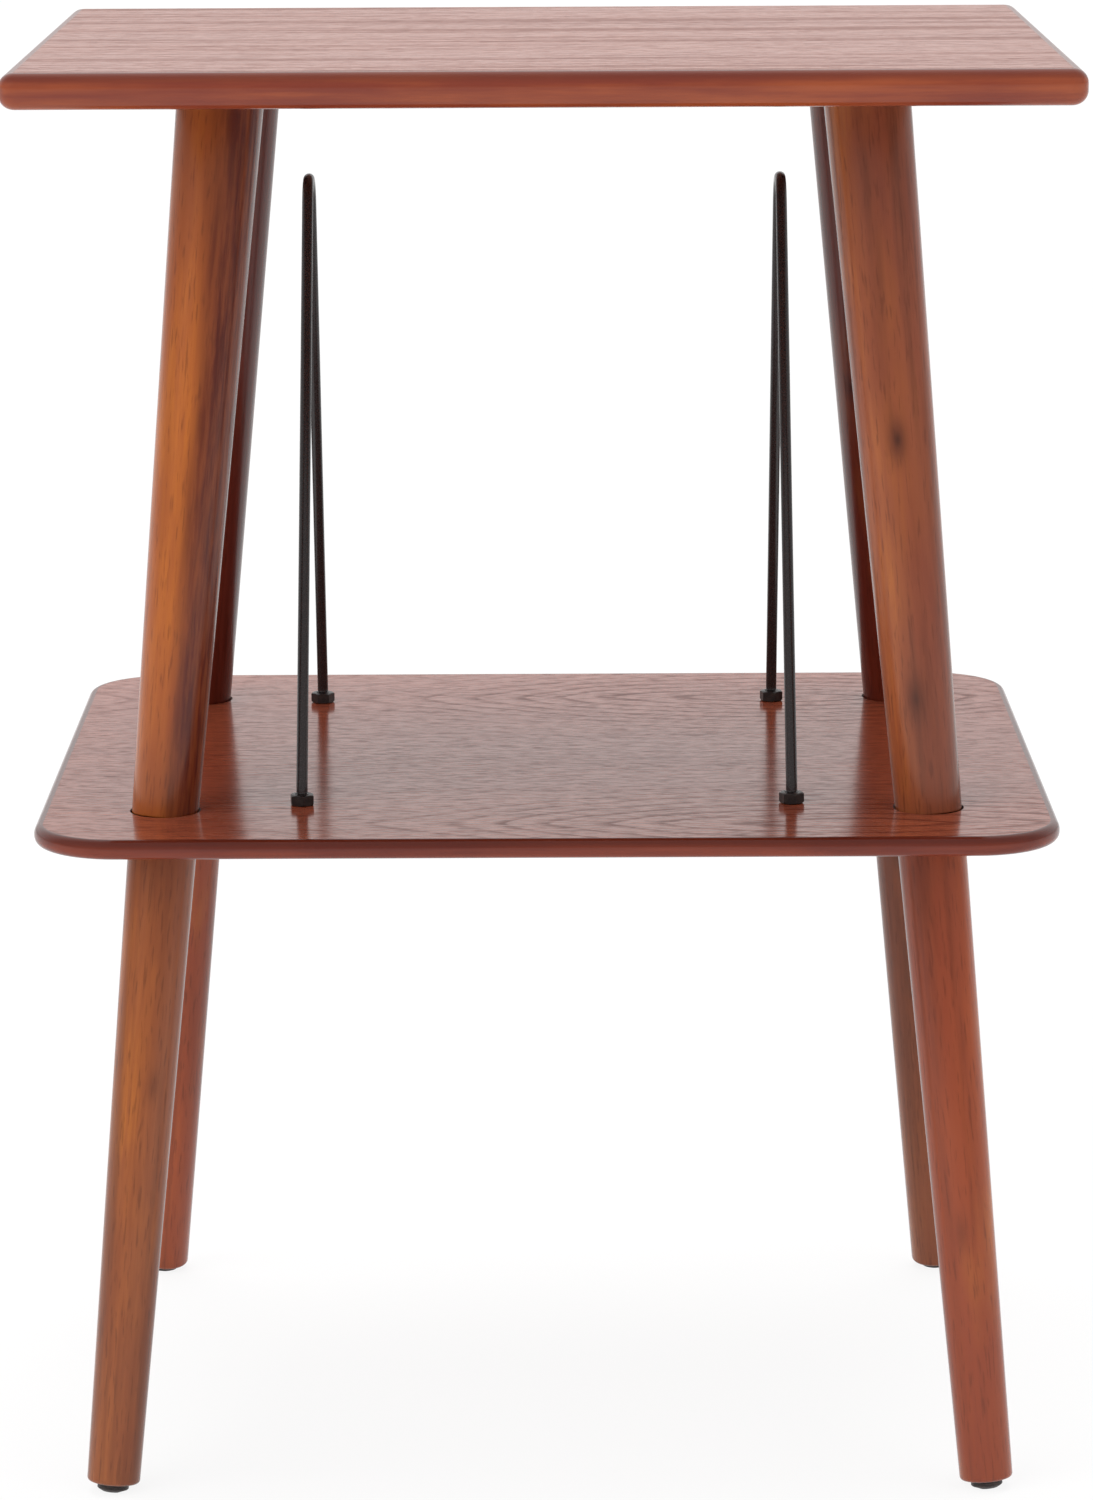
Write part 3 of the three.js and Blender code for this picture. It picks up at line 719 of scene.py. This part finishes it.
def divider_mesh(name, x):
    """One divider at this X: its bent wire, with a rolled thread at either end."""
    stations = wire_line()
    vertices = []
    side_axis = Vector((1, 0, 0))
    thread_top = stations[0][0].z
    washer_top = SHELF_UNDER - FLAT_GAP
    thread_end = washer_top - WASHER_THICK - FLAT_GAP - NUT_HEIGHT - THREAD_BELOW
    length = thread_top - thread_end
    steps = round(length / THREAD_PITCH * STEPS_PER_PITCH)

    def add_row(point, tangent, radius_at):
        outward = tangent.cross(side_axis)
        for i in range(WIRE_SIDES):
            angle = 2 * math.pi * i / WIRE_SIDES
            reach = radius_at(i / WIRE_SIDES)
            spoke = side_axis * math.cos(angle) + outward * math.sin(angle)
            vertices.append(point + spoke * reach + Vector((x, 0, 0)))

    def fade(distance):
        """1 along the thread, falling to 0 where it runs out at either end."""
        return max(0.0, min(1.0, distance / (THREAD_RUN_OUT * THREAD_PITCH)))

    def thread_row(foot, step, tangent):
        height = thread_end + length * step / steps
        keep = fade(thread_top - height)
        low = THREAD_RADIUS - THREAD_DEPTH
        tip = fade(height - thread_end)

        def radius_at(around):
            full = thread_radius(height / THREAD_PITCH - around * (1 if tangent.z > 0 else -1))
            full = low - THREAD_TIP * (1 - tip) + (full - low) * tip
            return WIRE_RADIUS + (full - WIRE_RADIUS) * keep

        add_row(Vector((0, foot, height)), tangent, radius_at)

    for step in range(steps):
        thread_row(-WIRE_FOOT, step, Vector((0, 0, 1)))
    for point, tangent in stations:
        add_row(point, tangent, lambda around: WIRE_RADIUS)
    for step in reversed(range(steps)):
        thread_row(WIRE_FOOT, step, Vector((0, 0, -1)))
    total = len(vertices)
    faces = skin(range(0, total, WIRE_SIDES), WIRE_SIDES)
    faces.append(tuple(range(WIRE_SIDES)))
    faces.append(tuple(range(total - WIRE_SIDES, total)))
    return smooth_mesh(name, vertices, faces, [FINISHES["black_wire"]], sharp=50)


NUT_STEPS = 96
NUT_TURNS = {"front_left": 8, "front_right": 21, "back_left": 34, "back_right": 14}  # degrees


def nut_mesh(name, place, turn):
    """A hexagon nut. Its chamfered faces meet the flats in curves, and its bore starts in a countersink."""
    face_radius = NUT_FLATS / 2 - NUT_FACE_INSET
    slope = NUT_CHAMFER
    bore, mouth = THREAD_RADIUS + 0.1 * MM, THREAD_RADIUS + 0.45 * MM
    sink = 0.3 * MM
    soft = 0.12 * MM
    vertices, rows = [], []

    def hexagon(angle):
        third = math.pi / 3
        return NUT_FLATS / 2 / math.cos((angle + third / 2) % third - third / 2)

    def add_row(radius_and_height):
        rows.append(len(vertices))
        for i in range(NUT_STEPS):
            angle = 2 * math.pi * i / NUT_STEPS
            radius, height = radius_and_height(angle)
            spot = angle + turn
            vertices.append(place @ Vector((radius * math.cos(spot), radius * math.sin(spot), height)))

    def rim(angle, upper):
        radius = hexagon(angle)
        drop = max(0.0, radius - face_radius) * slope
        return radius, NUT_HEIGHT - drop if upper else drop

    def inside(angle, upper):
        radius, height = rim(angle, upper)
        return radius - soft, height + (soft * slope if upper else -soft * slope)

    def below_rim(angle, upper):
        radius, height = rim(angle, upper)
        return radius, height + (-soft if upper else soft)

    top = NUT_HEIGHT
    add_row(lambda a: (bore, sink))
    add_row(lambda a: (mouth, 0.0))
    add_row(lambda a: (face_radius - soft, 0.0))
    add_row(lambda a: inside(a, False))
    add_row(lambda a: below_rim(a, False))
    add_row(lambda a: below_rim(a, True))
    add_row(lambda a: inside(a, True))
    add_row(lambda a: (face_radius - soft, top))
    add_row(lambda a: (mouth, top))
    add_row(lambda a: (bore, top - sink))
    faces = skin(rows + rows[:1], NUT_STEPS)
    return smooth_mesh(name, vertices, faces, [FINISHES["black_hardware"]], sharp=24)


WASHER_SIDES = 64


def washer_mesh(name, place):
    soft = 0.2 * MM
    inner, outer, thick = THREAD_RADIUS + 0.3 * MM, WASHER_RADIUS, WASHER_THICK
    profile = [(inner, soft), (inner + soft, 0), (outer - soft, 0), (outer, soft), (outer, thick - soft)]
    profile += [(outer - soft, thick), (inner + soft, thick), (inner, thick - soft), (inner, soft)]
    vertices, faces = lathe(profile, WASHER_SIDES)
    lying = [place @ Vector(v) for v in vertices]
    return smooth_mesh(name, lying, faces, [FINISHES["black_hardware"]], sharp=24)


def add_dividers():
    for side, sign in SIDES.items():
        name = "divider_wire_" + side
        mesh = divider_mesh(name, sign * WIRE_SIDE)
        add_piece(name + "_bent", mesh, [name])
    washer_base = SHELF_UNDER - FLAT_GAP - WASHER_THICK
    lower_base = washer_base - FLAT_GAP - NUT_HEIGHT
    for corner, x, y in wire_ends():
        turn = math.radians(NUT_TURNS[corner])
        heights = {"upper": (SHELF_FACE + FLAT_GAP, turn), "lower": (lower_base, 0.0)}
        for level, (height, spin) in heights.items():
            name = f"divider_{level}_nut_{corner}"
            mesh = nut_mesh(name, Matrix.Translation((x, y, height)), spin)
            add_piece(name + "_fine", mesh, [name])
        name = "divider_washer_" + corner
        mesh = washer_mesh(name, Matrix.Translation((x, y, washer_base)))
        add_piece(name + "_fine", mesh, [name])


# ------------------------------------------------------------------ finishes

# light, dark, and for a face its pores
TOP_TONES = ((0.380, 0.092, 0.034), (0.260, 0.056, 0.022), (0.110, 0.024, 0.012))
SHELF_TONES = ((0.340, 0.080, 0.036), (0.225, 0.048, 0.023), (0.080, 0.017, 0.011))
TOP_EDGE_TONES = ((0.290, 0.062, 0.020), (0.180, 0.030, 0.015))
SHELF_EDGE_TONES = ((0.190, 0.030, 0.011), (0.115, 0.015, 0.007))
TOP_ARCHES = [(-0.30, -0.42, 1.9), (0.25, 0.40, 1.9)]
SHELF_ARCHES = [(0.112, 0.125, 0.52), (0.135, -0.158, 0.60)]
FINISHES = {
    "bare_board": bare_board(),
    "black_wire": black_wire(),
    "black_hardware": black_hardware(),
    "zinc_steel": zinc_steel(),
    "glide_plastic": glide_plastic(),
    "top_veneer": veneer("top_veneer", TOP_ARCHES, 0.6, (1.3, 0.4, 0.0), *TOP_TONES),
    "shelf_veneer": veneer("shelf_veneer", SHELF_ARCHES, 0.1, (0.2, 2.1, 0.0), *SHELF_TONES),
    "top_edge": edge_band("top_edge", TOP_FACE, *TOP_EDGE_TONES, (0.0, 0.0, 0.0)),
    "shelf_edge": edge_band("shelf_edge", SHELF_FACE, *SHELF_EDGE_TONES, (0.7, 0.3, 0.1)),
}

LEG_TONES = {
    # name: (light, dark, core tone of heartwood and painted shade)
    "amber": ((0.420, 0.116, 0.018), (0.280, 0.064, 0.014), (0.080, 0.009, 0.004)),
    "tan": ((0.340, 0.098, 0.024), (0.210, 0.052, 0.016), (0.170, 0.044, 0.020)),
    "brown": ((0.370, 0.104, 0.032), (0.240, 0.058, 0.023), (0.150, 0.034, 0.020)),
    "russet": ((0.370, 0.080, 0.021), (0.260, 0.050, 0.016), (0.190, 0.034, 0.016)),
    # Only the two back upper legs have this darker tone: partly their own wood, partly painted shade from the
    # top board over them.
    "red": ((0.230, 0.038, 0.013), (0.135, 0.019, 0.009), (0.080, 0.010, 0.006)),
}
LEG_WOODS = {
    # name: (tone, strength of the dark bands, (direction of the heartwood and painted shade, its strength),
    # knots), and each knot is (height, direction, size). Directions are in radians round the leg's axis.
    "upper_leg_front_left": ("amber", 0.20, (-0.25, 1.0), ()),
    "upper_leg_front_right": ("brown", 0.60, (-0.75, 0.6), ((0.055, -1.72, 0.0040), (0.172, -1.60, 0.0036))),
    "upper_leg_back_left": ("red", 0.30, (0.0, 0.8), ()),
    "upper_leg_back_right": ("red", 0.40, (3.1, 0.7), ((0.170, -2.20, 0.0030),)),
    "lower_leg_front_left": ("tan", 0.50, (-0.50, 0.4), ((-0.120, -1.20, 0.0028),)),
    "lower_leg_front_right": ("russet", 0.50, (-2.40, 0.5), ((-0.190, -1.75, 0.0036),)),
    "lower_leg_back_left": ("russet", 0.45, (0.5, 0.4), ()),
    "lower_leg_back_right": ("tan", 0.60, (-2.0, 0.6), ((-0.075, -1.90, 0.0030),)),
}
GRAIN_SHIFT = (0.37, 0.23, 0.61)  # from one leg's patch of grain to the next


def add_leg_finishes():
    """Gives each leg its own wood, by the leg's name."""
    for i, (leg, (tone, streaks, heart_and_shade, knots)) in enumerate(LEG_WOODS.items()):
        shift = tuple(step * i for step in GRAIN_SHIFT)
        FINISHES[leg] = leg_wood(leg, shift, LEG_TONES[tone], streaks, heart_and_shade, knots)


# ------------------------------------------------------------------ stage

WHITE = (1, 1, 1, 1)
FLOOR_HALF = 30.0
FLOOR_SHARE = 0.12  # how much of the floor's look is its own shading, with the object's shadow in it


def add_floor():
    s = Shader("floor")
    place = s.place()
    cloud = s.noise(place, (1.5, 1.5, 1.5), 2.0)
    matt = s.node("BsdfDiffuse", {"Color": s.mix(cloud, (0.88, 0.88, 0.88), (0.92, 0.92, 0.92))})
    glow = s.node("Emission", {"Color": WHITE, "Strength": 1.0})
    rays = s.node("LightPath").outputs
    seen = s.math("MAXIMUM", rays["Is Camera Ray"], rays["Is Glossy Ray"])
    share = s.math("MULTIPLY", seen, 1 - FLOOR_SHARE)
    corners = [(x * FLOOR_HALF, y * FLOOR_HALF, 0) for x, y in ((-1, -1), (1, -1), (1, 1), (-1, 1))]
    mesh = bpy.data.meshes.new("floor")
    mesh.from_pydata(corners, [], [(0, 1, 2, 3)])
    mesh.materials.append(s.show(s.mix_shaders(share, matt, glow)))
    floor = bpy.data.objects.new("floor", mesh)
    bpy.context.scene.collection.objects.link(floor)


WORLD_FILL = 0.42  # what lights the stand from all round
WORLD_FRONT = 0.55  # what glossy surfaces see in front of the stand, where the studio is dark
WORLD_HORIZON = 0.72  # just above the floor behind it
WORLD_BEHIND = 1.0  # and higher up behind it, where they see the white background
LAMPS = {
    # name: (azimuth, elevation, strength, angle) in degrees, the azimuth from the front towards the right
    "key": (-52, 34, 1.55, 55),
    "fill": (64, 30, 0.75, 60),
    "over": (180, 78, 2.2, 40),
}


def add_world():
    s = Graph(bpy.data.worlds.new("studio"))
    towards = s.parts(s.node("TexCoord").outputs["Generated"])
    behind = s.remap(towards["Y"], 0.0, 0.6, WORLD_FRONT, 1.0)
    above = s.remap(towards["Z"], 0.07, 0.17, WORLD_HORIZON, WORLD_BEHIND)
    lighting = s.node("Background", {"Color": WHITE, "Strength": WORLD_FILL})
    mirrored = s.node("Background", {"Color": WHITE, "Strength": s.math("MULTIPLY", behind, above)})
    seen = s.node("Background", {"Color": WHITE, "Strength": 1.0})
    rays = s.node("LightPath").outputs
    unseen = s.mix_shaders(rays["Is Glossy Ray"], lighting, mirrored)
    bpy.context.scene.world = s.show(s.mix_shaders(rays["Is Camera Ray"], unseen, seen), "OutputWorld")


def add_lamps():
    for name, (azimuth, elevation, strength, angle) in LAMPS.items():
        data = bpy.data.lights.new(name, "SUN")
        data.energy = strength
        data.angle = math.radians(angle)
        lamp = bpy.data.objects.new(name, data)
        lamp.visible_glossy = False  # the world alone is what shiny surfaces mirror
        turn, rise = math.radians(azimuth), math.radians(elevation)
        level = math.cos(rise)
        source = Vector((math.sin(turn) * level, -math.cos(turn) * level, math.sin(rise)))
        lamp.matrix_world = source.to_track_quat("Z", "Y").to_matrix().to_4x4()
        bpy.context.scene.collection.objects.link(lamp)


def dress_hidden_hardware():
    """The bolts, inserts and nails inside the wood keep their CAD shape and get their finish."""
    stems = ("leg_top_bolt_", "top_board_insert_", "leg_joint_bolt_", "lower_leg_insert_", "glide_nail_")
    for corner in CORNERS:
        for stem in stems:
            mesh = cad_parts[stem + corner].data
            mesh.materials.clear()
            mesh.materials.append(FINISHES["zinc_steel"])


add_camera()
add_leg_finishes()
add_boards()
add_legs()
add_glides()
add_dividers()
dress_hidden_hardware()
add_floor()
add_world()
add_lamps()
bpy.context.scene.view_settings.view_transform = "Standard"
